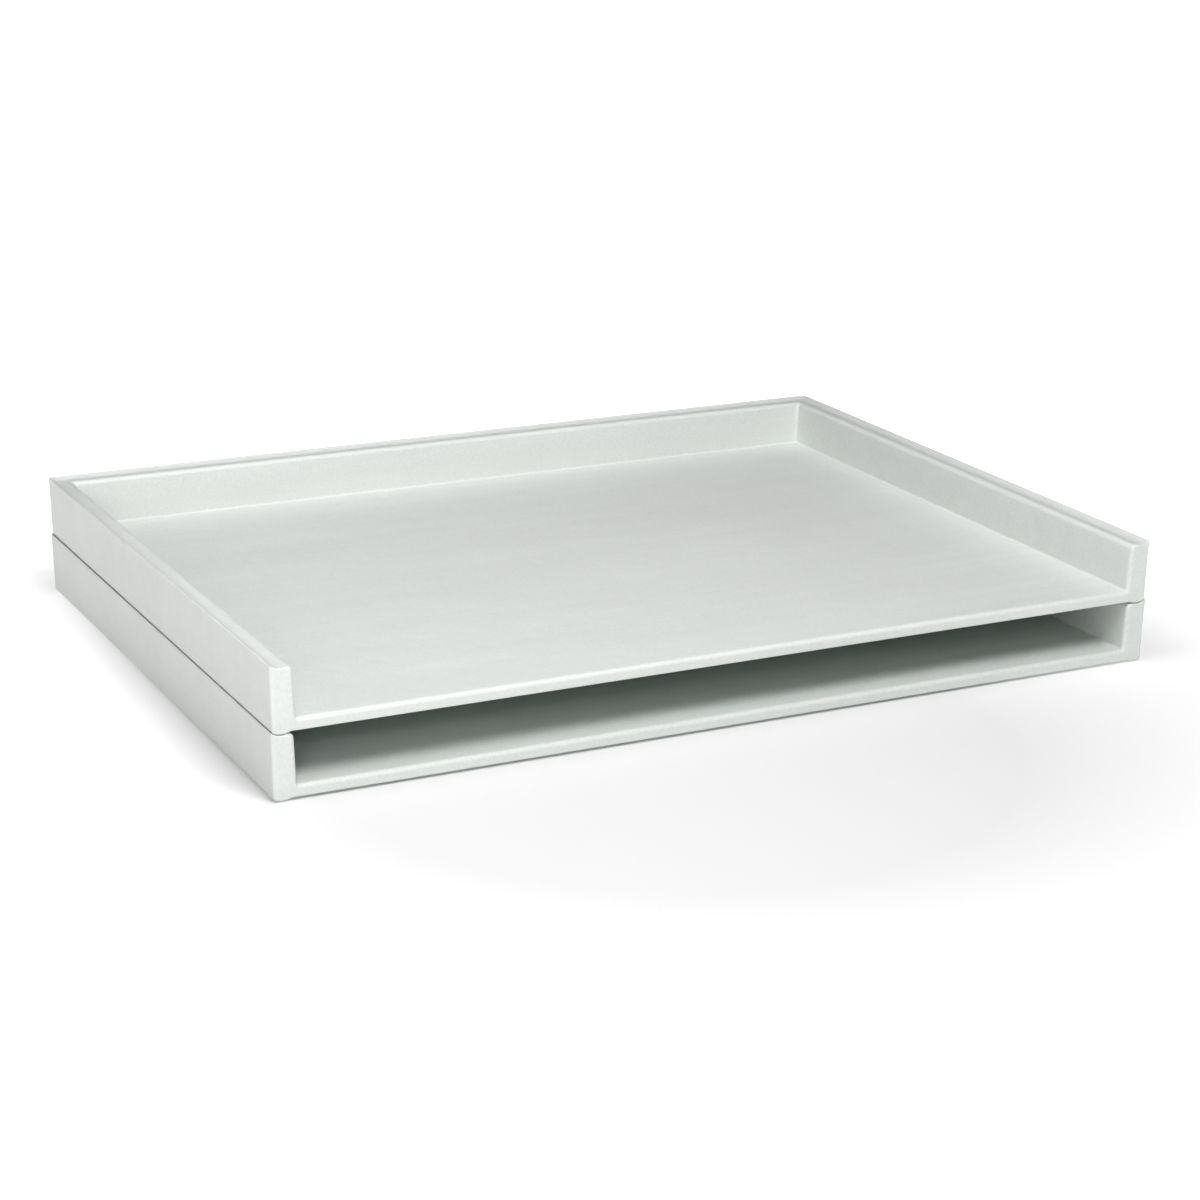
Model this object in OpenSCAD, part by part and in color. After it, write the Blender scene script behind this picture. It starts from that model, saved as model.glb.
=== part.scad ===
// Pair of large-format stacking document trays: two identical double-wall mouldings,
// each open along its long front side, the upper one nested on the rails of the lower one.
// Frame: +X along the long front side, +Y towards the back, +Z up, and the origin on the
// desk under the middle of the stack.

/* [Tray] */
// Overall width of a tray, along the open front
tray_w = 1010; // [700:5:1300]
// Overall depth of a tray, front lip to back wall
tray_d = 736; // [500:1:1000]
// Height that each stacked tray adds to the pile
pitch = 67; // [60:0.5:90]
// Thickness of each of the two plastic sheets
sheet = 2.5; // [2:0.1:3]
// Radius of the upright outer corners
corner_r = 5; // [2:0.5:10]

/* [Deck] */
// Height of the deck's underside above the desk
under_z = 2.8; // [2:0.1:4]
// Height of the deck's upper surface above the desk
deck_z = 15.2; // [13:0.1:20]
// Radius that rounds the top of the deck's front lip
lip_r = 5; // [2:0.5:6]
// Height of the shallow rib that stiffens the deck behind its lip
rib_h = 0.3; // [0.1:0.1:0.8]
// Width of that rib
rib_w = 20; // [10:1:30]
// Distance from the front lip to the middle of the rib
rib_y = 102; // [60:1:150]

/* [Walls] */
// Wall thickness at the level of the deck
wall_base = 26; // [25:0.5:34]
// Wall thickness just under the rounded inner edge of the rail
wall_top = 24; // [23.5:0.1:25]
// Radius of the rail's rounded inner edge
rail_r = 5.5; // [3:0.5:6]
// Radius of the fillet between the inner wall and the deck
foot_r = 2; // [1.5:0.5:8]
// Height of the outer wall's lower edge above the desk
edge_z = 4.4; // [4:0.1:5]
// How far the outer wall leans inwards from its lip down to its lower edge
wall_draft = 1.6; // [1:0.1:2]

/* [Nesting] */
// Distance of the middle of the tongue and channel from the outer wall
nest_u = 11.5; // [11:0.1:12.5]
// Radius of the rounded tongue under the wall
tongue_r = 16; // [15.5:0.1:18]
// Clearance between a tongue and the channel that holds it
nest_gap = 0.5; // [0.3:0.1:0.8]
// Height of the rail's outer lip above the bottom of the channel
lip_h = 3.5; // [3:0.1:3.8]
// Height of the rail's inner lip above the bottom of the channel
inner_lip_h = 0.7; // [0.4:0.1:1]
// Depth of the flat that the tongue rests on, cut off its round
tongue_flat = 0.3; // [0.2:0.1:0.5]
// Distance from the outer face to the line where the two sheets meet
seam_u = 7; // [6:0.5:8]
// Height from the foot of the welded land between the sheets to the top of the lip
weld_h = 9; // [8:1:12]
// Distance of the small notches in the rail's outer lip from the back corners
notch_at = 8; // [6:1:20]
// Width of a notch
notch_w = 1.4; // [1:0.1:3]
// Depth of a notch
notch_h = 1.1; // [0.5:0.1:1.5]

/* [Tack-offs] */
// Distance between the columns of tack-off cups
tack_dx = 57.2; // [45:0.1:90]
// Distance between their rows
tack_dy = 46.5; // [40:0.1:90]
// Radius of the disc where a cup is fused to the deck
tack_r = 11.5; // [8:0.5:13]
// Radius of a cup's mouth in the underside
tack_mouth_r = 13; // [10:0.5:15]

/* [Hidden] */
$fn = 96;
eps = 0.01;
channel_z = pitch - nest_gap;              // bottom of the channel in the rail
lip_z = channel_z + lip_h;                 // top of the rail's outer lip, and of the tray
inner_lip_z = channel_z + inner_lip_h;
tongue_z = tongue_r - tongue_flat;         // height of the tongue's centre of curvature
channel_r = tongue_r + nest_gap - tongue_flat;
channel_c = channel_z + channel_r;         // height of the channel's centre of curvature
part_z = under_z + sheet + 0.7;            // level where the sheets meet along the front
inner_front = -tray_d / 2 + sheet;
deck_depth = tray_d - wall_base;           // from the lip to the foot of the back wall
tack_room = tack_mouth_r + 2 * sheet;      // least distance of a cup from a wall's foot
tack_i = floor((tray_w / 2 - wall_base - tack_room) / tack_dx);  // columns on each side
tack_j = floor((deck_depth / 2 - tack_room) / tack_dy);          // rows before and behind
white = [0.88, 0.90, 0.88];
shade = [0.80, 0.83, 0.81];

// How far the leaning outer wall has come in at height z
function lean(z) = wall_draft * (lip_z - z) / (lip_z - edge_z);

// Wall outline: x runs inwards from the outer face, y is height above the desk
module wall_outline() {
    difference() {
        polygon([[wall_draft, edge_z], [0, lip_z], [nest_u, lip_z], [wall_top, inner_lip_z],
                 [wall_top, inner_lip_z - rail_r], [wall_base, deck_z],
                 [wall_base, under_z], [nest_u, under_z], [nest_u, edge_z]]);
        translate([nest_u, channel_c]) circle(channel_r);
        translate([nest_u, inner_lip_z]) square([wall_top, lip_z]);
        rail_edge_waste(wall_top, inner_lip_z, rail_r);
    }
    tongue_segment(tongue_r, 0, wall_draft);
    deck_fillet();
}

// What is cut away outside a rounded edge of radius r whose corner is at (x, y)
module rail_edge_waste(x, y, r) {
    difference() {
        translate([x - r, y - r]) square(2 * r);
        translate([x - r, y - r]) circle(r);
        translate([x - r - eps, y - 2 * r]) square([r, 2 * r]);
    }
}

// Lower part of a circle that hangs below the wall, flat where it meets the desk and cut
// off at from_u on its outer side
module tongue_segment(r, flat_z, from_u) {
    intersection() {
        translate([nest_u, tongue_z]) circle(r);
        translate([from_u, flat_z]) square([2 * nest_u - from_u, edge_z + sheet - flat_z]);
    }
}

// Round fill between the foot of the inner wall and the deck
module deck_fillet() {
    difference() {
        translate([wall_base - sheet, deck_z - eps]) square(foot_r + sheet);
        translate([wall_base + foot_r, deck_z + foot_r]) circle(foot_r);
        translate([wall_base + foot_r, deck_z]) square(foot_r);
        translate([wall_base - sheet, deck_z + foot_r]) square(foot_r + 2 * sheet);
    }
}

// Hollow between the two sheets inside the wall
module wall_hollow() {
    land_z = lip_z - weld_h;
    difference() {
        polygon([[sheet + wall_draft, edge_z], [sheet + lean(land_z - seam_u), land_z - seam_u],
                 [seam_u, land_z], [seam_u + sheet, lip_z - sheet],
                 [nest_u, lip_z - sheet], [nest_u, inner_lip_z - sheet],
                 [wall_top - rail_r, inner_lip_z - sheet],
                 [wall_top - sheet, inner_lip_z - rail_r],
                 [wall_base - sheet, deck_z - sheet + eps],
                 [wall_base + sheet, deck_z - sheet],
                 [wall_base + sheet, under_z + sheet], [nest_u, under_z + sheet],
                 [nest_u, edge_z]]);
        translate([nest_u, channel_c]) circle(channel_r + sheet);
    }
    tongue_segment(tongue_r - sheet, sheet, sheet + wall_draft);
}

// Sweeps a wall outline round the left, back and right sides, mitred at the back corners;
// front is where the side walls start
module sweep_walls(front) {
    for (side = [0, 1]) mirror([side, 0, 0])
        intersection() {
            translate([-tray_w / 2, tray_d / 2, 0])
                rotate([90, 0, 0]) linear_extrude(tray_d / 2 - front) children();
            linear_extrude(2 * pitch)
                polygon([[-tray_w / 2 - 1, front], [-tray_w / 2 - 1, tray_d / 2 + 1],
                         [(tray_d - tray_w) / 2, 0], [(tray_d - tray_w) / 2, front]]);
        }
    intersection() {
        translate([-tray_w / 2, tray_d / 2, 0])
            rotate([90, 0, 90]) linear_extrude(tray_w) mirror([1, 0]) children();
        linear_extrude(2 * pitch)
            polygon([[-tray_w / 2 - 1, tray_d / 2 + 1], [tray_w / 2 + 1, tray_d / 2 + 1],
                     [(tray_w - tray_d) / 2, 0], [(tray_d - tray_w) / 2, 0]]);
    }
}

// Plan of a tray grown inwards by inset, with round corners
module plan_outline(inset, r) {
    w = tray_w / 2 - inset;
    d = tray_d / 2 - inset;
    translate([-w + r, -d]) square([2 * (w - r), 2 * d]);
    translate([-w, -d + r]) square([2 * w, 2 * (d - r)]);
    for (x = [-1, 1], y = [-1, 1]) translate([x * (w - r), y * (d - r)]) circle(r);
}

// Deck between the walls, with its rounded front lip
module deck_slab() {
    translate([-tray_w / 2 + wall_base - eps, 0, 0])
        rotate([90, 0, 90]) linear_extrude(tray_w - 2 * wall_base + 2 * eps)
            difference() {
                translate([-tray_d / 2, under_z]) square([deck_depth + eps, deck_z - under_z]);
                mirror([1, 0]) rail_edge_waste(tray_d / 2, deck_z, lip_r);
            }
}

// Low stiffening rib across the deck behind the lip
module deck_rib() {
    rib_l = tray_w - 2 * (wall_base + foot_r + rib_w);
    translate([-rib_l / 2, -tray_d / 2 + rib_y - rib_w / 2, deck_z - eps])
        cube([rib_l, rib_w, rib_h + eps]);
}

// Small notches across the rail's outer lip, two at each back corner
module lip_notches() {
    for (side = [0, 1]) mirror([side, 0, 0]) translate([tray_w / 2, tray_d / 2, lip_z - notch_h]) {
        translate([-notch_at - notch_w, -sheet, 0]) cube([notch_w, 2 * sheet, pitch]);
        translate([-sheet, -notch_at - notch_w, 0]) cube([2 * sheet, notch_w, pitch]);
    }
}

// Whole tray as one solid lump
module tray_lump() {
    difference() {
        intersection() {
            union() {
                sweep_walls(-tray_d / 2) wall_outline();
                deck_slab();
            }
            linear_extrude(2 * pitch) plan_outline(0, corner_r);
        }
        lip_notches();
    }
    deck_rib();
}

// All of the space between the two sheets
module tray_hollow() {
    sweep_walls(inner_front) wall_hollow();
    translate([-tray_w / 2 + wall_base, inner_front, under_z + sheet])
        cube([tray_w - 2 * wall_base, deck_depth - sheet, deck_z - under_z - 2 * sheet]);
}

// Region that belongs to the upper sheet
module upper_region() {
    translate([0, 0, part_z]) linear_extrude(pitch) {
        plan_outline(seam_u, 1);
        translate([-tray_w / 2 + seam_u, -tray_d / 2 - 1])
            square([tray_w - 2 * seam_u, tray_d / 2]);
    }
}

// Places a copy at every tack-off, on a grid about the middle of the deck
module at_tacks() {
    for (i = [-tack_i:tack_i], j = [-tack_j:tack_j])
        translate([i * tack_dx, j * tack_dy - wall_base / 2, 0]) children();
}

// Upper sheet: deck, front lip, inner walls and channelled rails
module deck_shell() {
    color(white) difference() {
        intersection() {
            tray_lump();
            upper_region();
        }
        tray_hollow();
    }
}

// Lower sheet: outer walls, nesting tongue and underside, with a cup at every tack-off
module base_shell() {
    cup_h = deck_z - sheet - under_z;
    color(shade) difference() {
        union() {
            difference() {
                tray_lump();
                upper_region();
                tray_hollow();
            }
            at_tacks() translate([0, 0, under_z])
                cylinder(h = cup_h, r1 = tack_mouth_r + sheet, r2 = tack_r);
        }
        at_tacks() translate([0, 0, under_z - eps])
            cylinder(h = cup_h - sheet, r1 = tack_mouth_r, r2 = tack_r - sheet);
    }
}

module lower_tray_base_shell() { base_shell(); }
module lower_tray_deck_shell() { deck_shell(); }
module upper_tray_base_shell() { translate([0, 0, pitch]) base_shell(); }
module upper_tray_deck_shell() { translate([0, 0, pitch]) deck_shell(); }

lower_tray_base_shell();
lower_tray_deck_shell();
upper_tray_base_shell();
upper_tray_deck_shell();
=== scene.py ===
"""Two large stacking document trays, the upper one nested on the lower, on a pale floor.

Each tray is moulded from two plastic sheets: an outer sheet (walls, nesting tongue and an
underside full of cups) and an inner sheet (deck, front lip and the channelled rails). Both
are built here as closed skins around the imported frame. +X runs along the open front, +Y to
the back and +Z up. Sizes are in millimetres until make_mesh() turns them into metres.
"""

import math

import bmesh
import bpy
import numpy as np
from mathutils import Matrix, Vector


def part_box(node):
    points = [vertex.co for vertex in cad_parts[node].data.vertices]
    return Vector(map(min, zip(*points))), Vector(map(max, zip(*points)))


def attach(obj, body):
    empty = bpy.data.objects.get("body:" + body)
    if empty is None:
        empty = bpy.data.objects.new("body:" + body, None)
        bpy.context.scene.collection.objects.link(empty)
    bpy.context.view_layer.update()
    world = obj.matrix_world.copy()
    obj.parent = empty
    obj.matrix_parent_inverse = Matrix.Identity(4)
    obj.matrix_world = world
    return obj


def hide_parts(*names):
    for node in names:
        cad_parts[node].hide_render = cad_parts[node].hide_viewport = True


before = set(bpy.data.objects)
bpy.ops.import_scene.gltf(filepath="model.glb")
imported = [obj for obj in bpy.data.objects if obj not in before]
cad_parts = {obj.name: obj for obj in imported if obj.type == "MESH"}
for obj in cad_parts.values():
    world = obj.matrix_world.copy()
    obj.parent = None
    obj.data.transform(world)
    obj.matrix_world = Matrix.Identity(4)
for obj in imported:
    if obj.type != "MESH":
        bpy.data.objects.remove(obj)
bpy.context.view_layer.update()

MM = 0.001

# ---------------------------------------------------------------- sizes, from the frame
shell_low, shell_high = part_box("lower_tray_base_shell")
HALF_W = shell_high.x / MM
HALF_D = shell_high.y / MM
LIP_Z = shell_high.z / MM
PITCH = (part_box("upper_tray_base_shell")[0].z - shell_low.z) / MM

# ---------------------------------------------------------------- sizes, as in part.scad
SHEET = 2.5
CORNER_R = 5.0
UNDER_Z = 2.8
DECK_Z = 15.2
LIP_R = 5.0
WALL_BASE = 26.0
WALL_TOP = 24.0
WALL_DRAFT = 1.6
RAIL_R = 5.5
FOOT_R = 2.0
NEST_U = 11.5
TONGUE_R = 16.0
TONGUE_FLAT = 0.3
NEST_GAP = 0.5
INNER_LIP_H = 0.7
SEAM_U = 7.0
WELD_H = 9.0
RIB_Y = 102.0
RIB_W = 20.0
TACK_DX = 57.2
TACK_DY = 46.5
TACK_COLUMNS = 17
TACK_ROWS = 15
NOTCH_AT = 8.0
NOTCH_W = 1.4
NOTCH_H = 1.1

CHANNEL_Z = PITCH - NEST_GAP
INNER_LIP_Z = CHANNEL_Z + INNER_LIP_H
TONGUE_Z = TONGUE_R - TONGUE_FLAT
CHANNEL_R = TONGUE_R + NEST_GAP - TONGUE_FLAT
CHANNEL_C = CHANNEL_Z + CHANNEL_R
PART_Z = UNDER_Z + SHEET + 0.7
TACK_SHIFT_Y = -WALL_BASE / 2

# ---------------------------------------------------------------- finer shape
GROOVE = 0.12         # chamfer along the line where the two sheets meet
INNER_CORNER_R = 3.5  # upright corners of everything inside the outer wall
END_R = 4.6           # rounding of the end faces' inner edges
WALL_END_R = 3.0      # and of their outer edges
EDGE_R = 5.0          # rounding between the outer wall and the tongue
SEAM_END_R = 0.9      # rounding of the end faces' edge at the seam
RIDGE_END_R = 0.45    # and at the tip of the rail's outer lip
TONGUE_END_R = 3.0
LOW_END_R = 2.0       # rounding of the end faces' outer edge low on the wall
RAIL_END_R = 2.6      # and of their top edge, where the channel meets the rail
UNDER_R = 1.2         # rounding under the front lip
RIDGE_IN_R = 0.5      # rounding of the outer lip's inner and outer edges
RIDGE_OUT_R = 1.05
WALL_WAVE = 0.16      # how far the walls wander from flat

# Relief of the deck: a dish at each tack-off, swells between their rows, a rib, a wander
RIB_RISE = 0.22
DISH_R = 14.0
DISH_DEPTH = 0.36
DISH_RINGS = (14.2, 11.0, 7.8, 4.0)
SWELL = 0.25          # half-way between the left and the right of the deck
SWELL_FALL = 0.16     # how much more it is on the left, and less on the right
SWELL_TURN_X = -120
SWELL_TURN_W = 170
ROW_SWELL = 0.04      # swell between the columns
WANDER = 0.07
RELIEF_FADE = 9       # width of the fade at the deck's edges

# Cups in the underside, as radius and height, from the rim to the top
CUP = ((14.4, UNDER_Z), (13.4, UNDER_Z + 0.35), (12.8, UNDER_Z + 1.1), (9.6, 9.2), (8.6, 10.1))
CUP_TOP_Z = 10.2

CELL_STEPS = 5        # edges along each side of a tack-off's cell
RING_STEPS = 5        # steps round each front edge
CORNER_STEPS = 5

# The drafted inner face, and the fillet at its foot that runs into the deck
draft = math.atan2(WALL_BASE - WALL_TOP, INNER_LIP_Z - RAIL_R - DECK_Z)
foot_rise = FOOT_R / (INNER_LIP_Z - RAIL_R - DECK_Z)
FOOT_U = WALL_BASE - (WALL_BASE - WALL_TOP) * foot_rise + FOOT_R / math.cos(draft)
DECK_HALF_X = HALF_W - FOOT_U
DECK_BACK = HALF_D - FOOT_U


def mix(a, b, t):
    return a + (b - a) * t


def ease(t):
    t = np.clip(t, 0.0, 1.0)
    return t * t * (3 - 2 * t)


def arc(centre, radius, start, end, steps):
    """Points (u, z) on an arc, from one angle in degrees to another."""
    angles = [math.radians(mix(start, end, k / steps)) for k in range(steps + 1)]
    return [(centre[0] + radius * math.cos(a), centre[1] + radius * math.sin(a)) for a in angles]


def angle_at(centre, u, radius):
    """Angle in degrees where the lower half of a circle passes u."""
    return -math.degrees(math.acos((u - centre[0]) / radius))


def fillet(a, corner, b, radius, steps):
    """Points that round the corner between the lines to a and to b."""
    corner = Vector(corner)
    to_a, to_b = (Vector(a) - corner).normalized(), (Vector(b) - corner).normalized()
    half = to_a.angle(to_b) / 2
    first = corner + to_a * radius / math.tan(half)
    last = corner + to_b * radius / math.tan(half)
    centre = corner + (to_a + to_b).normalized() * radius / math.sin(half)
    turn = (first - centre).angle_signed(last - centre)
    points = []
    for k in range(steps + 1):
        spoke = (first - centre).copy()
        spoke.rotate(Matrix.Rotation(-turn * k / steps, 2))
        points.append(tuple(centre + spoke))
    return points


def along(a, b, steps):
    """Points between a and b, both left out."""
    return [(mix(a[0], b[0], k / steps), mix(a[1], b[1], k / steps)) for k in range(1, steps)]


class Track:
    """One point of a wall's section, carried round the tray by place().

    u is its distance in from the outer face and z its height. normal points into the
    plastic, end_r rounds it over at the front, corner_r is its plan radius at the back
    corners, inset moves its front end back, and wave is its share of the walls' wander.
    """

    def __init__(self, u, z, normal=(0, -1), end_r=0.0, corner_r=INNER_CORNER_R,
                 inset=0.0, wave=0.0):
        self.u, self.z, self.normal, self.end_r = u, z, normal, end_r
        self.corner_r, self.inset, self.wave = corner_r, inset, wave

    def place(self, key):
        """Where the track is at key: -1 to 0 rounds the left front edge, 0 to 1 runs back
        along the left wall, 1 to 2 turns the corner, 2 to 3 crosses the back, and the
        right side mirrors the left, up to 6."""
        if key > 2.5:
            x, y, z = self.place(5 - key)
            return -x, y, z
        front = -HALF_D + self.inset
        if key < 0:
            turn = -key * math.pi / 2
            off = self.end_r * (1 - math.cos(turn))
            u, z = self.u + self.normal[0] * off, self.z + self.normal[1] * off
            return -(HALF_W - u), front + self.end_r * (1 - math.sin(turn)), z
        x_wall, y_wall = HALF_W - self.u, HALF_D - self.u
        if key <= 1:
            x, y = -x_wall, mix(front + self.end_r, y_wall - self.corner_r, key)
        elif key < 2:
            turn = math.pi * (1 - (key - 1) / 2)
            x = -x_wall + self.corner_r * (1 + math.cos(turn))
            y = y_wall - self.corner_r * (1 - math.sin(turn))
        else:
            x, y = -(x_wall - self.corner_r) * (5 - 2 * key), y_wall
        if not self.wave:
            return x, y, self.z
        ripple = math.sin(x / 47 + self.z / 31) * math.sin(y / 39 + 1.7) + math.sin(
            (x + 2 * y) / 83 + self.z / 19
        )
        off = self.wave * WALL_WAVE * (0.5 + 0.25 * ripple)
        side = (off * self.normal[0], 0) if key <= 1 else (0, -off * self.normal[0])
        return x + side[0], y + side[1], self.z + off * self.normal[1]


def with_normals(points, hand):
    """Unit normals of a section, to the right of its run if hand is 1, else to the left."""
    found = []
    for k in range(len(points)):
        a, b = points[max(k - 1, 0)], points[min(k + 1, len(points) - 1)]
        run = Vector((b[0] - a[0], b[1] - a[1])).normalized()
        found.append((hand * run.y, -hand * run.x))
    return found


# ---------------------------------------------------------------- keys along the sweep
def cell_edges(count, spacing, shift, low, high):
    """Edges of the tack-offs' cells, stretched to low and high, CELL_STEPS steps apart."""
    edges = [low]
    edges += [(k - count / 2) * spacing + shift for k in range(1, count)] + [high]
    steps = [mix(a, b, k / CELL_STEPS) for a, b in zip(edges, edges[1:]) for k in range(CELL_STEPS)]
    return np.array(steps + [high])


DECK_X = cell_edges(TACK_COLUMNS, TACK_DX, 0, -DECK_HALF_X, DECK_HALF_X)
DECK_Y = cell_edges(TACK_ROWS, TACK_DY, TACK_SHIFT_Y, -HALF_D + LIP_R, DECK_BACK)
SIDE_KEYS = [float(k) for k in (DECK_Y - DECK_Y[0]) / (DECK_Y[-1] - DECK_Y[0])]
BACK_KEYS = [float(k) for k in 2 + (DECK_X + DECK_HALF_X) / (2 * DECK_HALF_X)]
corner_keys = [k / CORNER_STEPS for k in range(1, CORNER_STEPS)]
WALL_KEYS = SIDE_KEYS + [1 + k for k in corner_keys] + BACK_KEYS
WALL_KEYS += [3 + k for k in corner_keys] + [5 - k for k in reversed(SIDE_KEYS)]
END_KEYS = [-1 + k / RING_STEPS for k in range(RING_STEPS)]
ALL_KEYS = END_KEYS + WALL_KEYS + [5 - k for k in reversed(END_KEYS)]


def notch_keys(track):
    """Keys at the edges of the notches, two beside each back corner."""
    side_start, side_end = track.place(0)[1], track.place(1)[1]
    half_back = -track.place(2)[0]
    keys = []
    for at in (NOTCH_AT - 0.1, NOTCH_AT, NOTCH_AT + NOTCH_W, NOTCH_AT + NOTCH_W + 0.1):
        side = (HALF_D - at - side_start) / (side_end - side_start)
        back = 2 + (half_back - (HALF_W - at)) / (2 * half_back)
        keys += [side, back, 5 - side, 5 - back]
    return keys


def in_notch(key, track):
    x, y, _ = track.place(key)
    return any(
        NOTCH_AT - 0.01 < gap < NOTCH_AT + NOTCH_W + 0.01 for gap in (HALF_W - abs(x), HALF_D - y)
    )


# ---------------------------------------------------------------- skins
class Skin:
    """The faces of one closed sheet of plastic."""

    def __init__(self):
        self.points, self.faces = [], []

    def add(self, points):
        start = len(self.points)
        self.points.extend(points)
        return list(range(start, len(self.points)))

    def row(self, track, keys):
        return self.add([track.place(k) for k in keys])

    def join(self, a, b):
        """Quads between two rows of as many points."""
        self.faces.extend(zip(a, a[1:], b[1:], b))

    def join_finer(self, a, a_keys, b, b_keys):
        """Faces between row a and row b, which has all of a's keys and more between them."""
        place_of = {k: n for n, k in enumerate(b_keys)}
        for k in range(len(a) - 1):
            low, high = place_of[a_keys[k]], place_of[a_keys[k + 1]]
            self.faces.append((a[k], a[k + 1], *reversed(b[low : high + 1])))

    def sweep(self, tracks, keys):
        rows = [self.row(t, keys) for t in tracks]
        for a, b in zip(rows, rows[1:]):
            self.join(a, b)
        return rows

    def face(self, points):
        self.faces.append(tuple(self.add(points)))

    def cells(self, y_rows, rings, centre_z):
        """A patch for each tack-off between DECK_X and y_rows, with rings (radius, height)
        about the tack-off and a fan at centre_z. The first ring is the cell's own edge."""
        n = CELL_STEPS
        angles = [math.radians(-135 + 90 * k / n) for k in range(4 * n)]
        for i in range(TACK_COLUMNS):
            for j in range(TACK_ROWS):
                xs, ys = DECK_X[i * n : i * n + n + 1], y_rows[j * n : j * n + n + 1]
                edge = [(x, ys[0]) for x in xs[:-1]] + [(xs[-1], y) for y in ys[:-1]]
                edge += [(x, ys[-1]) for x in xs[:0:-1]] + [(xs[0], y) for y in ys[:0:-1]]
                cx, cy = tack_centre(i, j)
                loops = [self.add([(x, y, rings[0][1]) for x, y in edge])]
                for radius, z in rings[1:]:
                    loops.append(self.add([(cx + radius * math.cos(a), cy + radius * math.sin(a), z)
                                           for a in angles]))
                for a, b in zip(loops, loops[1:]):
                    self.join(a + a[:1], b + b[:1])
                (hub,) = self.add([(cx, cy, centre_z)])
                last = loops[-1]
                self.faces.extend((p, q, hub) for p, q in zip(last, last[1:] + last[:1]))

    def edge_rows(self, z, end_r, up):
        """The rounded front edge of a flat sheet at height z, between the side walls."""
        rows = []
        for key in [*END_KEYS, 0.0]:
            turn = -key * math.pi / 2
            y = -HALF_D + end_r * (1 - math.sin(turn))
            height = z + up * end_r * (1 - math.cos(turn))
            rows.append(self.add([(x, y, height) for x in DECK_X]))
        for a, b in zip(rows, rows[1:]):
            self.join(a, b)

    def seam(self, top, cap_u, cap_z):
        """The groove and the joint faces where the sheets meet across the front. top is the
        track in the groove, and cap_u, cap_z the corner of this sheet's front face."""
        x_in, x_cap = HALF_W - SEAM_U, HALF_W - cap_u
        y_in, y_groove = -HALF_D + SHEET, -HALF_D + GROOVE
        weld_z = LIP_Z - WELD_H
        for side in (-1, 1):
            upright = [top.place(k) for k in [*END_KEYS, 0.0]]
            upright = [(-side * x, y, z) for x, y, z in upright]
            upright += [(side * x_in, y_in, weld_z), (side * x_in, y_in, PART_Z)]
            self.face([*upright, (side * x_in, y_groove, PART_Z)])
        self.face([(-x_in, y_groove, PART_Z), (x_in, y_groove, PART_Z),
                   (x_in, y_in, PART_Z), (-x_in, y_in, PART_Z)])
        self.face([(-x_in, y_groove, PART_Z), (x_in, y_groove, PART_Z),
                   (x_cap, -HALF_D, cap_z), (-x_cap, -HALF_D, cap_z)])
        return x_cap

    def groove_ends(self, top, cap_top, x_cap, cap_z):
        """The groove's upright chamfers on both end faces."""
        for side in (-1, 1):
            low, high = top.place(-1), cap_top.place(-1)
            self.face([(-side * low[0], low[1], low[2]), (-side * high[0], high[1], high[2]),
                       (side * x_cap, -HALF_D, cap_z),
                       (side * (HALF_W - SEAM_U), -HALF_D + GROOVE, PART_Z)])


def tack_centre(i, j):
    return (
        (i - (TACK_COLUMNS - 1) / 2) * TACK_DX,
        (j - (TACK_ROWS - 1) / 2) * TACK_DY + TACK_SHIFT_Y,
    )


def mirrored(points):
    return [(-x, y, z) for x, y, z in reversed(points)]


CHANNEL = (NEST_U, CHANNEL_C)
TONGUE = (NEST_U, TONGUE_Z)
seam_z = CHANNEL_C - math.sqrt(CHANNEL_R**2 - (NEST_U - SEAM_U) ** 2)
SEAM = Track(SEAM_U, seam_z - GROOVE, (0, -1), end_r=SEAM_END_R, inset=GROOVE)


def inner_section():
    """Tracks of the inner sheet's visible side, from the seam to the deck."""
    lip_angle = -math.degrees(math.asin((CHANNEL_C - INNER_LIP_Z) / CHANNEL_R))
    channel = arc(CHANNEL, CHANNEL_R, angle_at(CHANNEL, SEAM_U + GROOVE, CHANNEL_R), lip_angle, 9)
    rail = arc((WALL_TOP - RAIL_R, INNER_LIP_Z - RAIL_R), RAIL_R, 90, 0, 7)
    lean = math.degrees(draft)
    foot = arc((FOOT_U, DECK_Z + FOOT_R), FOOT_R, 180 + lean, 270, 7)
    face = along(rail[-1], foot[0], 7)
    points = channel + rail + face + foot
    normals = with_normals(points, 1)
    normals[0], normals[-1] = (0, -1), (0, -1)
    tracks = [SEAM]
    for k, ((u, z), normal) in enumerate(zip(points, normals)):
        corner_r, wave = INNER_CORNER_R, 0.0
        if k < len(channel):
            t = ease((u - SEAM_U) / (WALL_TOP - RAIL_R - SEAM_U))
            end_r = mix(SEAM_END_R, RAIL_END_R, t)
        elif k < len(channel) + len(rail):
            end_r = mix(RAIL_END_R, END_R, (k - len(channel)) / (len(rail) - 1))
        elif k < len(points) - len(foot):
            end_r = END_R
            wave = math.sin(math.pi * (z - foot[0][1]) / (rail[-1][1] - foot[0][1]))
        else:
            t = (k - len(points) + len(foot)) / (len(foot) - 1)
            end_r, corner_r = mix(END_R, LIP_R, t), INNER_CORNER_R * (1 - t)
        tracks.append(Track(u, z, normal, end_r, corner_r, wave=wave))
    return tracks


def arc_z(u):
    """Height of the tongue's round at u."""
    return TONGUE_Z - math.sqrt(TONGUE_R**2 - (NEST_U - u) ** 2)


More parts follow.
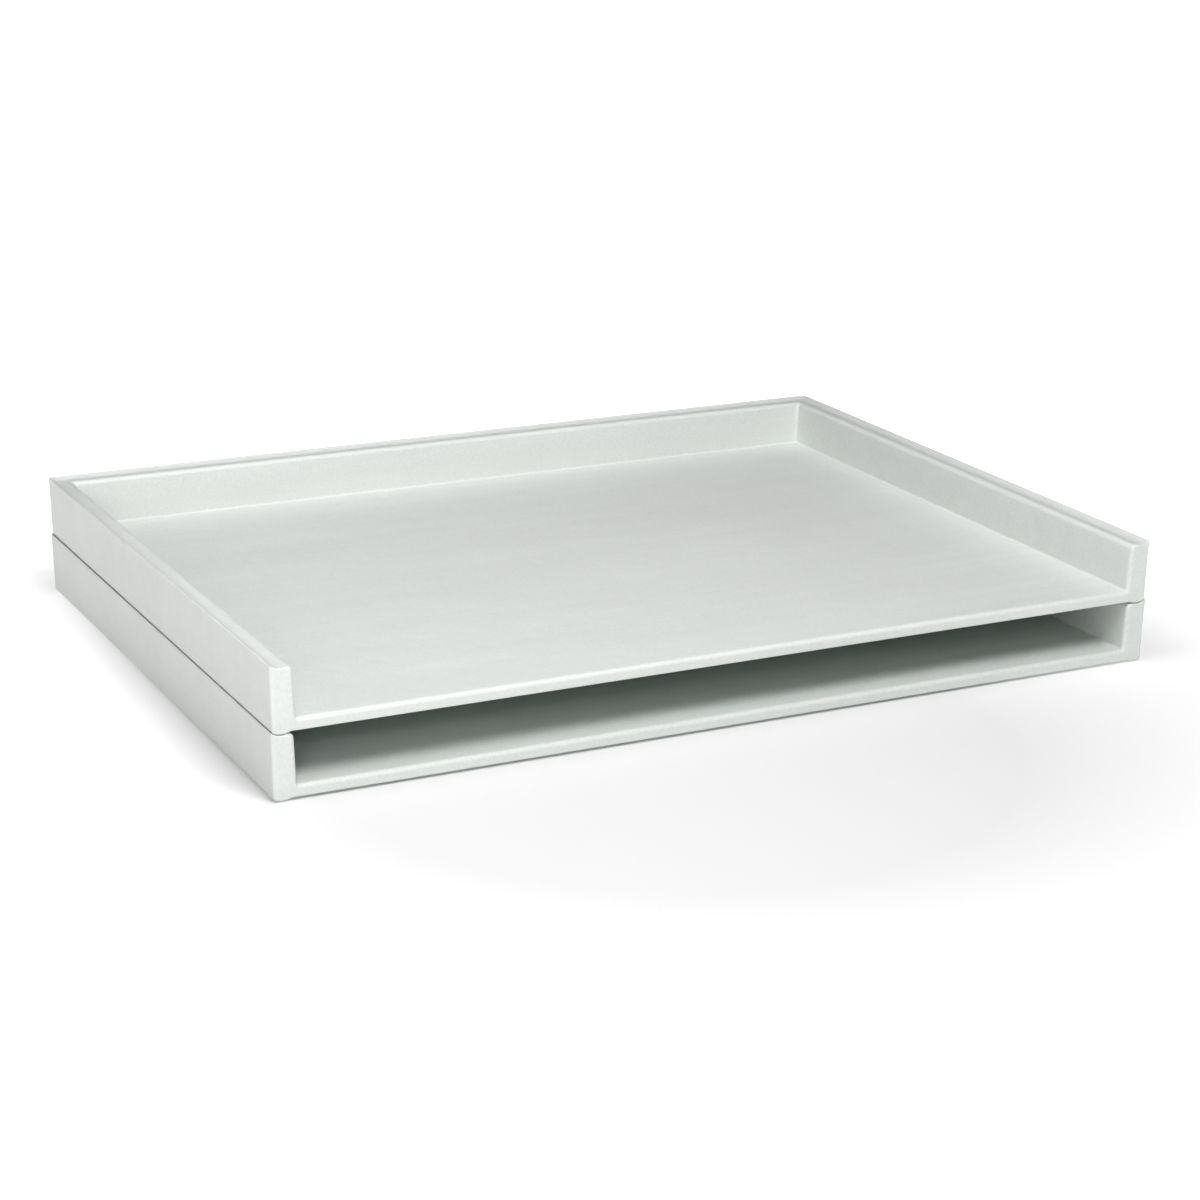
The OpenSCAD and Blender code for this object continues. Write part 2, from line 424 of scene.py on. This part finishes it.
def outer_section():
    """Tracks of the outer sheet's visible side, from the seam over the ridge, down the wall
    and round the tongue to the underside. Also how many of them make up the ridge."""
    tip_u = NEST_U - math.sqrt(CHANNEL_R**2 - (CHANNEL_C - LIP_Z) ** 2)
    tip, top, foot = (tip_u, LIP_Z), (0, LIP_Z), (WALL_DRAFT, arc_z(WALL_DRAFT))
    flat_u = math.sqrt(TONGUE_R**2 - TONGUE_Z**2)
    under_u = NEST_U + math.sqrt(TONGUE_R**2 - (TONGUE_Z - UNDER_Z) ** 2)
    ridge = arc(CHANNEL, CHANNEL_R, angle_at(CHANNEL, SEAM_U - GROOVE, CHANNEL_R),
                angle_at(CHANNEL, 2.0, CHANNEL_R), 4)
    ridge += fillet(ridge[-1], tip, top, RIDGE_IN_R, 2)
    ridge += fillet(tip, top, foot, RIDGE_OUT_R, 4)
    down = arc(TONGUE, TONGUE_R, angle_at(TONGUE, 4.1, TONGUE_R),
               angle_at(TONGUE, NEST_U - flat_u, TONGUE_R), 4)
    edge = fillet(top, foot, down[0], EDGE_R, 5)
    wall = along(ridge[-1], edge[0], 9)
    up = arc(TONGUE, TONGUE_R, angle_at(TONGUE, NEST_U + flat_u, TONGUE_R),
             angle_at(TONGUE, under_u - 1.2, TONGUE_R), 4)
    up += fillet(up[-1], (under_u, UNDER_Z), (FOOT_U, UNDER_Z), 1.5, 3) + [(FOOT_U, UNDER_Z)]
    points = ridge + wall + edge + down + up
    normals = with_normals(points, -1)
    normals[0], normals[-1] = (0, -1), (0, 1)
    tracks = [SEAM]
    for k, ((u, z), normal) in enumerate(zip(points, normals)):
        corner_r, wave = mix(CORNER_R, INNER_CORNER_R, min(u / SHEET, 1)), 0.0
        if k < len(ridge) + len(wall):
            end_r = mix(RIDGE_END_R, WALL_END_R, ease((LIP_Z - 0.5 - z) / 6))
            if k < 5:
                end_r = mix(SEAM_END_R, RIDGE_END_R, k / 4)
            elif k >= len(ridge):
                wave = math.sin(math.pi * (z - edge[0][1]) / (ridge[-1][1] - edge[0][1]))
                end_r = min(end_r, mix(LOW_END_R, WALL_END_R, ease((z - 5) / 8)))
        elif k < len(points) - len(up):
            end_r = mix(LOW_END_R, TONGUE_END_R, ease((u - WALL_DRAFT) / 4))
        else:
            end_r = mix(TONGUE_END_R, UNDER_R, ease((u - 17) / 6))
        if u >= FOOT_U - 0.001:
            corner_r = 0.0
        tracks.append(Track(u, z, normal, float(end_r), corner_r, wave=wave))
    return tracks, 1 + len(ridge)


def hidden_tracks(points, corner_r=INNER_CORNER_R):
    return [Track(u, z, inset=SHEET, corner_r=corner_r) for u, z in points]


def relief(x, y):
    """Height of the deck's surface above flat: a shallow dish at every tack-off, swells
    between their rows that are strongest on the left, the rib behind the lip and a slow
    wander. All fade at the edges."""
    gap = np.minimum(DECK_HALF_X - np.abs(x), np.minimum(y + HALF_D - LIP_R, DECK_BACK - y))
    fade = ease(gap / RELIEF_FADE)
    dx = (x / TACK_DX - np.round(x / TACK_DX)) * TACK_DX
    row = (y - TACK_SHIFT_Y) / TACK_DY
    dy = (row - np.round(row)) * TACK_DY
    dish = np.cos(math.pi / 2 * np.minimum(np.hypot(dx, dy) / DISH_R, 1)) ** 2
    height = SWELL - SWELL_FALL * np.tanh((x - SWELL_TURN_X) / SWELL_TURN_W)
    swell = (1 - np.cos(2 * math.pi * row)) / 2 * height
    swell = swell + ROW_SWELL * (1 - np.cos(2 * math.pi * x / TACK_DX)) / 2
    rib = ease((RIB_W / 2 + 4 - np.abs(y + HALF_D - RIB_Y)) / 8)
    wander = np.sin(x / 71 + y / 113) + np.sin(x / 157 - y / 59 + 2.1) + np.sin(y / 41 + x / 301)
    return fade * (swell - DISH_DEPTH * dish + RIB_RISE * rib + WANDER * wander)


def make_mesh(name, skin, shape=None):
    """A mesh in metres from a skin, welded, with its normals outwards."""
    co = np.array(skin.points)
    if shape is not None:
        co = shape(co)
    mesh = bpy.data.meshes.new(name)
    mesh.from_pydata((co * MM).tolist(), [], skin.faces)
    bm = bmesh.new()
    bm.from_mesh(mesh)
    bmesh.ops.remove_doubles(bm, verts=bm.verts, dist=0.002 * MM)
    bmesh.ops.recalc_face_normals(bm, faces=bm.faces)
    for f in bm.faces:
        f.smooth = True
    bm.to_mesh(mesh)
    bm.free()
    mesh.set_sharp_from_angle(angle=math.radians(38))
    return mesh


def shape_deck(co):
    """Adds the relief to the points of the deck's top."""
    x, y, z = co.T
    inside = (np.abs(x) < DECK_HALF_X) & (y > -HALF_D + LIP_R) & (y < DECK_BACK)
    top = inside & (z > DECK_Z - 0.01) & (z < DECK_Z + 0.01)
    co[top, 2] += relief(x[top], y[top])
    return co


def inner_sheet_mesh():
    skin = Skin()
    tracks = inner_section()
    skin.sweep(tracks, ALL_KEYS)
    skin.cells(DECK_Y, [(radius, DECK_Z) for radius in (0, *DISH_RINGS)], DECK_Z)
    skin.edge_rows(DECK_Z, LIP_R, -1)
    cap_u, cap_z = SEAM_U + GROOVE, PART_Z + GROOVE
    x_cap = skin.seam(SEAM, cap_u, cap_z)
    skin.groove_ends(SEAM, tracks[1], x_cap, cap_z)
    left = [t.place(-1) for t in tracks[1:]]
    lip = [(x, -HALF_D, DECK_Z - LIP_R) for x in DECK_X[1:-1]]
    skin.face([*left, *lip, *mirrored(left), (x_cap, -HALF_D, cap_z), (-x_cap, -HALF_D, cap_z)])

    # the side that faces the hollow
    radius = CHANNEL_R + SHEET
    lip_z = INNER_LIP_Z - SHEET
    lip_angle = -math.degrees(math.asin((CHANNEL_C - lip_z) / radius))
    points = [(SEAM_U, LIP_Z - WELD_H)]
    points += arc(CHANNEL, radius, angle_at(CHANNEL, 8.3, radius), lip_angle, 4)
    points += [(WALL_TOP - RAIL_R, lip_z), (WALL_TOP - SHEET, INNER_LIP_Z - RAIL_R),
               (WALL_BASE - SHEET, DECK_Z - SHEET)]
    hidden = hidden_tracks(points)
    rows = skin.sweep(hidden, WALL_KEYS)
    skin.join(skin.row(SEAM, WALL_KEYS), rows[0])
    skin.faces.append(tuple(rows[-1]))
    ends = [t.place(0) for t in hidden]
    x_in, y_in = HALF_W - SEAM_U, -HALF_D + SHEET
    skin.face([*ends, *mirrored(ends), (x_in, y_in, PART_Z), (-x_in, y_in, PART_Z)])
    return make_mesh("inner_sheet", skin, shape_deck)


def outer_sheet_mesh():
    skin = Skin()
    tracks, ridge_end = outer_section()
    ridge, wall = tracks[1:ridge_end], tracks[ridge_end:]
    fine = sorted(set(ALL_KEYS) | set(notch_keys(ridge[2])))
    rows = [skin.row(t, fine) for t in ridge]
    for a, b in zip(rows, rows[1:]):
        skin.join(a, b)
    for row in rows:
        for n, key in zip(row, fine):
            x, y, z = skin.points[n]
            if in_notch(key, ridge[2]):
                skin.points[n] = (x, y, min(z, LIP_Z - NOTCH_H))
    skin.join_finer(skin.row(SEAM, ALL_KEYS), ALL_KEYS, rows[0], fine)
    wall_rows = skin.sweep(wall, ALL_KEYS)
    skin.join_finer(wall_rows[0], ALL_KEYS, rows[-1], fine)

    under_y = np.array([wall[-1].place(k)[1] for k in SIDE_KEYS])
    skin.cells(under_y, [(0, UNDER_Z), *CUP], CUP_TOP_Z)
    skin.edge_rows(UNDER_Z, UNDER_R, 1)
    cap_u, cap_z = SEAM_U - GROOVE, PART_Z - GROOVE
    x_cap = skin.seam(SEAM, cap_u, cap_z)
    skin.groove_ends(SEAM, tracks[1], x_cap, cap_z)
    left = [t.place(-1) for t in tracks[1:]]
    lip = [(x, -HALF_D, UNDER_Z + UNDER_R) for x in DECK_X[1:-1]]
    skin.face([*left, *lip, *mirrored(left), (x_cap, -HALF_D, cap_z), (-x_cap, -HALF_D, cap_z)])

    # the side that faces the hollow
    radius, floor_z = TONGUE_R - SHEET, UNDER_Z + SHEET
    flat_u = math.sqrt(radius**2 - (TONGUE_Z - SHEET) ** 2)
    rise_u = math.sqrt(radius**2 - (TONGUE_Z - floor_z) ** 2)
    inside_u = SHEET + WALL_DRAFT
    points = [(SEAM_U, LIP_Z - WELD_H), (SHEET + 0.4, LIP_Z - WELD_H - SEAM_U), (inside_u, PART_Z)]
    points += arc(TONGUE, radius, angle_at(TONGUE, inside_u + 0.3, radius),
                  angle_at(TONGUE, NEST_U - flat_u, radius), 3)
    points += arc(TONGUE, radius, angle_at(TONGUE, NEST_U + flat_u, radius),
                  angle_at(TONGUE, NEST_U + rise_u, radius), 3)
    hidden = hidden_tracks(points)
    hidden += hidden_tracks([(FOOT_U, floor_z)], corner_r=0.0)
    rows = skin.sweep(hidden, WALL_KEYS)
    skin.join(skin.row(SEAM, WALL_KEYS), rows[0])
    hidden_y = np.array([hidden[-1].place(k)[1] for k in SIDE_KEYS])
    top_z = DECK_Z - SHEET
    skin.cells(hidden_y, [(0, floor_z), (15.3, floor_z), (11.6, top_z)], top_z)
    ends = [(-HALF_W + SEAM_U, -HALF_D + SHEET, PART_Z)] + [t.place(0) for t in hidden]
    front = [(x, -HALF_D + SHEET, floor_z) for x in DECK_X[1:-1]]
    skin.face([*ends, *front, *mirrored(ends)])
    return make_mesh("outer_sheet", skin)


# ---------------------------------------------------------------- materials
def node(tree, kind, **inputs):
    made = tree.nodes.new(kind)
    for name, value in inputs.items():
        socket = made.inputs[name.replace("_", " ")]
        if isinstance(value, bpy.types.NodeSocket):
            tree.links.new(value, socket)
        else:
            socket.default_value = value
    return made


def maths(tree, operation, a, b=0.0):
    made = tree.nodes.new("ShaderNodeMath")
    made.operation = operation
    for socket, value in zip(made.inputs, (a, b)):
        if isinstance(value, bpy.types.NodeSocket):
            tree.links.new(value, socket)
        else:
            socket.default_value = value
    return made.outputs[0]


STREAK_SCALE = (2.5, 34.0, 34.0)        # long along X
CLOUD, STREAK = 0.05, 0.12              # strengths of the colour's mottle and streaks
INNER_SPECK, OUTER_SPECK = 0.23, 0.13   # and of its grain, on each sheet
# Colour for faces that look down: painted shade, a greener tint standing in for the green cast of
# light bounced about inside the shaded slot between the trays. A guess.
PAINTED_SLOT_SHADE_COLOUR = (0.570, 0.650, 0.582, 1.0)
ROUGHNESS, ROUGHNESS_SPREAD = 0.40, 0.14
PLASTIC_IOR = 1.47
GRAIN_DEPTH = 0.18 * MM


def plastic(name, colour, speck):
    """Matt white moulded sheet: a fine pebble grain, a faint mottle and a soft sheen. Faces
    that look down are mixed towards a greener colour, a painted shade tint for the slot between the
    trays."""
    material = bpy.data.materials.new(name)
    material.use_nodes = True
    tree = material.node_tree
    shader = tree.nodes["Principled BSDF"]
    coords = tree.nodes.new("ShaderNodeTexCoord").outputs["Object"]

    def noise(scale, detail, roughness=0.5, at=coords):
        made = node(tree, "ShaderNodeTexNoise", Vector=at, Scale=scale, Detail=detail,
                    Roughness=roughness)
        return made.outputs["Fac"]

    stretched = tree.nodes.new("ShaderNodeVectorMath")
    stretched.operation = "MULTIPLY"
    stretched.inputs[1].default_value = STREAK_SCALE
    tree.links.new(coords, stretched.inputs[0])
    streak = noise(1.0, 3, 0.6, stretched.outputs[0])
    shade = maths(tree, "MULTIPLY", noise(9, 3), CLOUD)
    shade = maths(tree, "ADD", shade, maths(tree, "MULTIPLY", noise(420, 2, 0.6), speck))
    shade = maths(tree, "ADD", shade, maths(tree, "MULTIPLY", streak, STREAK))
    shade = maths(tree, "ADD", shade, 1 - (CLOUD + speck + STREAK) / 2)
    tint = tree.nodes.new("ShaderNodeVectorMath")
    tint.operation = "SCALE"
    facing = tree.nodes.new("ShaderNodeSeparateXYZ")
    tree.links.new(tree.nodes.new("ShaderNodeTexCoord").outputs["Normal"], facing.inputs[0])
    # painted shade: faces that look down are mixed towards the greener painted slot-shade colour,
    # the more the further down they face
    down = tree.nodes.new("ShaderNodeMix")
    down.data_type = "RGBA"
    down.inputs["A"].default_value = (*colour, 1.0)
    down.inputs["B"].default_value = PAINTED_SLOT_SHADE_COLOUR
    tree.links.new(maths(tree, "MULTIPLY", facing.outputs["Z"], -1.0), down.inputs["Factor"])
    tree.links.new(down.outputs["Result"], tint.inputs[0])
    tree.links.new(shade, tint.inputs["Scale"])
    tree.links.new(tint.outputs[0], shader.inputs["Base Color"])

    rough = maths(tree, "MULTIPLY", noise(160, 2), ROUGHNESS_SPREAD)
    rough = maths(tree, "ADD", rough, ROUGHNESS)
    tree.links.new(rough, shader.inputs["Roughness"])
    shader.inputs["IOR"].default_value = PLASTIC_IOR

    pebble = node(tree, "ShaderNodeTexVoronoi", Vector=coords, Scale=700.0)
    pebble.feature = "SMOOTH_F1"
    grain = maths(tree, "MULTIPLY", pebble.outputs["Distance"], 0.7)
    grain = maths(tree, "ADD", grain, noise(380, 3))
    bump = node(tree, "ShaderNodeBump", Height=grain, Strength=0.5, Distance=GRAIN_DEPTH)
    tree.links.new(bump.outputs[0], shader.inputs["Normal"])
    return material


INNER_COLOUR = (0.640, 0.663, 0.642)
OUTER_COLOUR = (0.642, 0.661, 0.642)
inner_mesh, outer_mesh = inner_sheet_mesh(), outer_sheet_mesh()
inner_mesh.materials.append(plastic("inner_sheet_plastic", INNER_COLOUR, INNER_SPECK))
outer_mesh.materials.append(plastic("outer_sheet_plastic", OUTER_COLOUR, OUTER_SPECK))

for body, height in (("lower_tray", 0.0), ("upper_tray", PITCH * MM)):
    for part, mesh in (("deck", inner_mesh), ("base", outer_mesh)):
        piece = bpy.data.objects.new(f"{body}_{part}_sheet", mesh.copy())
        bpy.context.scene.collection.objects.link(piece)
        piece.location.z = height
        even = piece.modifiers.new("even_shading", "WEIGHTED_NORMAL")
        even.keep_sharp = True
        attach(piece, body)
        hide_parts(f"{body}_{part}_shell")

# ---------------------------------------------------------------- floor, light and camera
FLOOR_HALF = 14.0
FLOOR_Z = -0.0002
PAPER_COLOUR = (0.66, 0.66, 0.66, 1)
GLOW_CENTRE = (-0.1, -0.4, 0)       # the paper glows faintly here and fully further away
GLOW_START, GLOW_END = 0.35, 1.3    # distances from that centre
GLOW_LOW, GLOW_HIGH = 0.09, 1.0
BACKDROP_LOW, BACKDROP_TOP = 0.04, 0.10   # heights of the direction where the backdrop fades
BACKDROP_ABOVE = 0.02                     # strength above it


def ramp(tree, value, start, end, first, last):
    """A number that runs from first to last while value runs from start to end."""
    made = node(tree, "ShaderNodeMapRange", Value=value, From_Min=start, From_Max=end,
                To_Min=first, To_Max=last)
    return made.outputs["Result"]


def floor_paper():
    """Pale matt paper that glows more the further it is from the trays."""
    paper = bpy.data.materials.new("floor_paper")
    paper.use_nodes = True
    tree = paper.node_tree
    shader = tree.nodes["Principled BSDF"]
    shader.inputs["Base Color"].default_value = PAPER_COLOUR
    shader.inputs["Roughness"].default_value = 0.9
    shader.inputs["Specular IOR Level"].default_value = 0.2
    shader.inputs["Emission Color"].default_value = (1, 1, 1, 1)
    reach = tree.nodes.new("ShaderNodeVectorMath")
    reach.operation = "DISTANCE"
    reach.inputs[1].default_value = GLOW_CENTRE
    tree.links.new(tree.nodes.new("ShaderNodeTexCoord").outputs["Object"], reach.inputs[0])
    glow = ramp(tree, reach.outputs["Value"], GLOW_START, GLOW_END, GLOW_LOW, GLOW_HIGH)
    tree.links.new(glow, shader.inputs["Emission Strength"])
    return paper


def backdrop():
    """A world that is white low down all round and nearly black above."""
    world = bpy.data.worlds.new("studio")
    world.use_nodes = True
    tree = world.node_tree
    sky = tree.nodes["Background"]
    sky.inputs["Color"].default_value = (1, 1, 1, 1)
    direction = tree.nodes.new("ShaderNodeSeparateXYZ")
    coords = tree.nodes.new("ShaderNodeTexCoord")
    tree.links.new(coords.outputs["Generated"], direction.inputs[0])
    low = ramp(tree, direction.outputs["Z"], BACKDROP_LOW, BACKDROP_TOP, 1.0, BACKDROP_ABOVE)
    tree.links.new(low, sky.inputs["Strength"])
    return world


floor_mesh = bpy.data.meshes.new("floor")
floor_mesh.from_pydata(
    [(x * FLOOR_HALF, y * FLOOR_HALF, FLOOR_Z) for x, y in ((-1, -1), (1, -1), (1, 1), (-1, 1))],
    [], [(0, 1, 2, 3)],
)
floor_mesh.materials.append(floor_paper())
floor = bpy.data.objects.new("floor", floor_mesh)
bpy.context.scene.collection.objects.link(floor)
bpy.context.scene.world = backdrop()


def soft_light(name, at, aim, size, power):
    light = bpy.data.lights.new(name, "AREA")
    light.shape, light.size, light.energy = "DISK", size, power
    lamp = bpy.data.objects.new(name, light)
    lamp.location = at
    lamp.rotation_mode = "QUATERNION"
    lamp.rotation_quaternion = (Vector(aim) - Vector(at)).to_track_quat("-Z", "Y")
    bpy.context.scene.collection.objects.link(lamp)


soft_light("front", (0.05, -1.95, 2.8), (0, 0, 0.05), 1.4, 78)
soft_light("side", (-2.6, -1.15, 1.25), (0, 0, 0.05), 1.2, 13.8)
soft_light("middle", (-0.4, -0.2, 1.4), (0.2, 0.2, 0.05), 1.0, 9.8)
soft_light("corner", (-1.02, -1.42, 0.6), (-0.45, 0, 0.05), 0.5, 5.7)

CAMERA_AT = Vector((-1.3407, -2.7062, 0.9899))
YAW, PITCH_DOWN, ROLL = (math.radians(a) for a in (26.762, 17.645, 0.729))
forward = Vector((math.sin(YAW) * math.cos(PITCH_DOWN), math.cos(YAW) * math.cos(PITCH_DOWN),
                  -math.sin(PITCH_DOWN)))
level = Vector((math.cos(YAW), -math.sin(YAW), 0))
right = math.cos(ROLL) * level + math.sin(ROLL) * level.cross(forward)
camera_data = bpy.data.cameras.new("camera")
camera_data.lens, camera_data.sensor_width = 84.20, 36.0
camera = bpy.data.objects.new("camera", camera_data)
camera.matrix_world = Matrix.Translation(CAMERA_AT) @ Matrix(
    (right, right.cross(forward), -forward)
).transposed().to_4x4()
bpy.context.scene.collection.objects.link(camera)
bpy.context.scene.camera = camera
bpy.context.scene.view_settings.view_transform = "Standard"
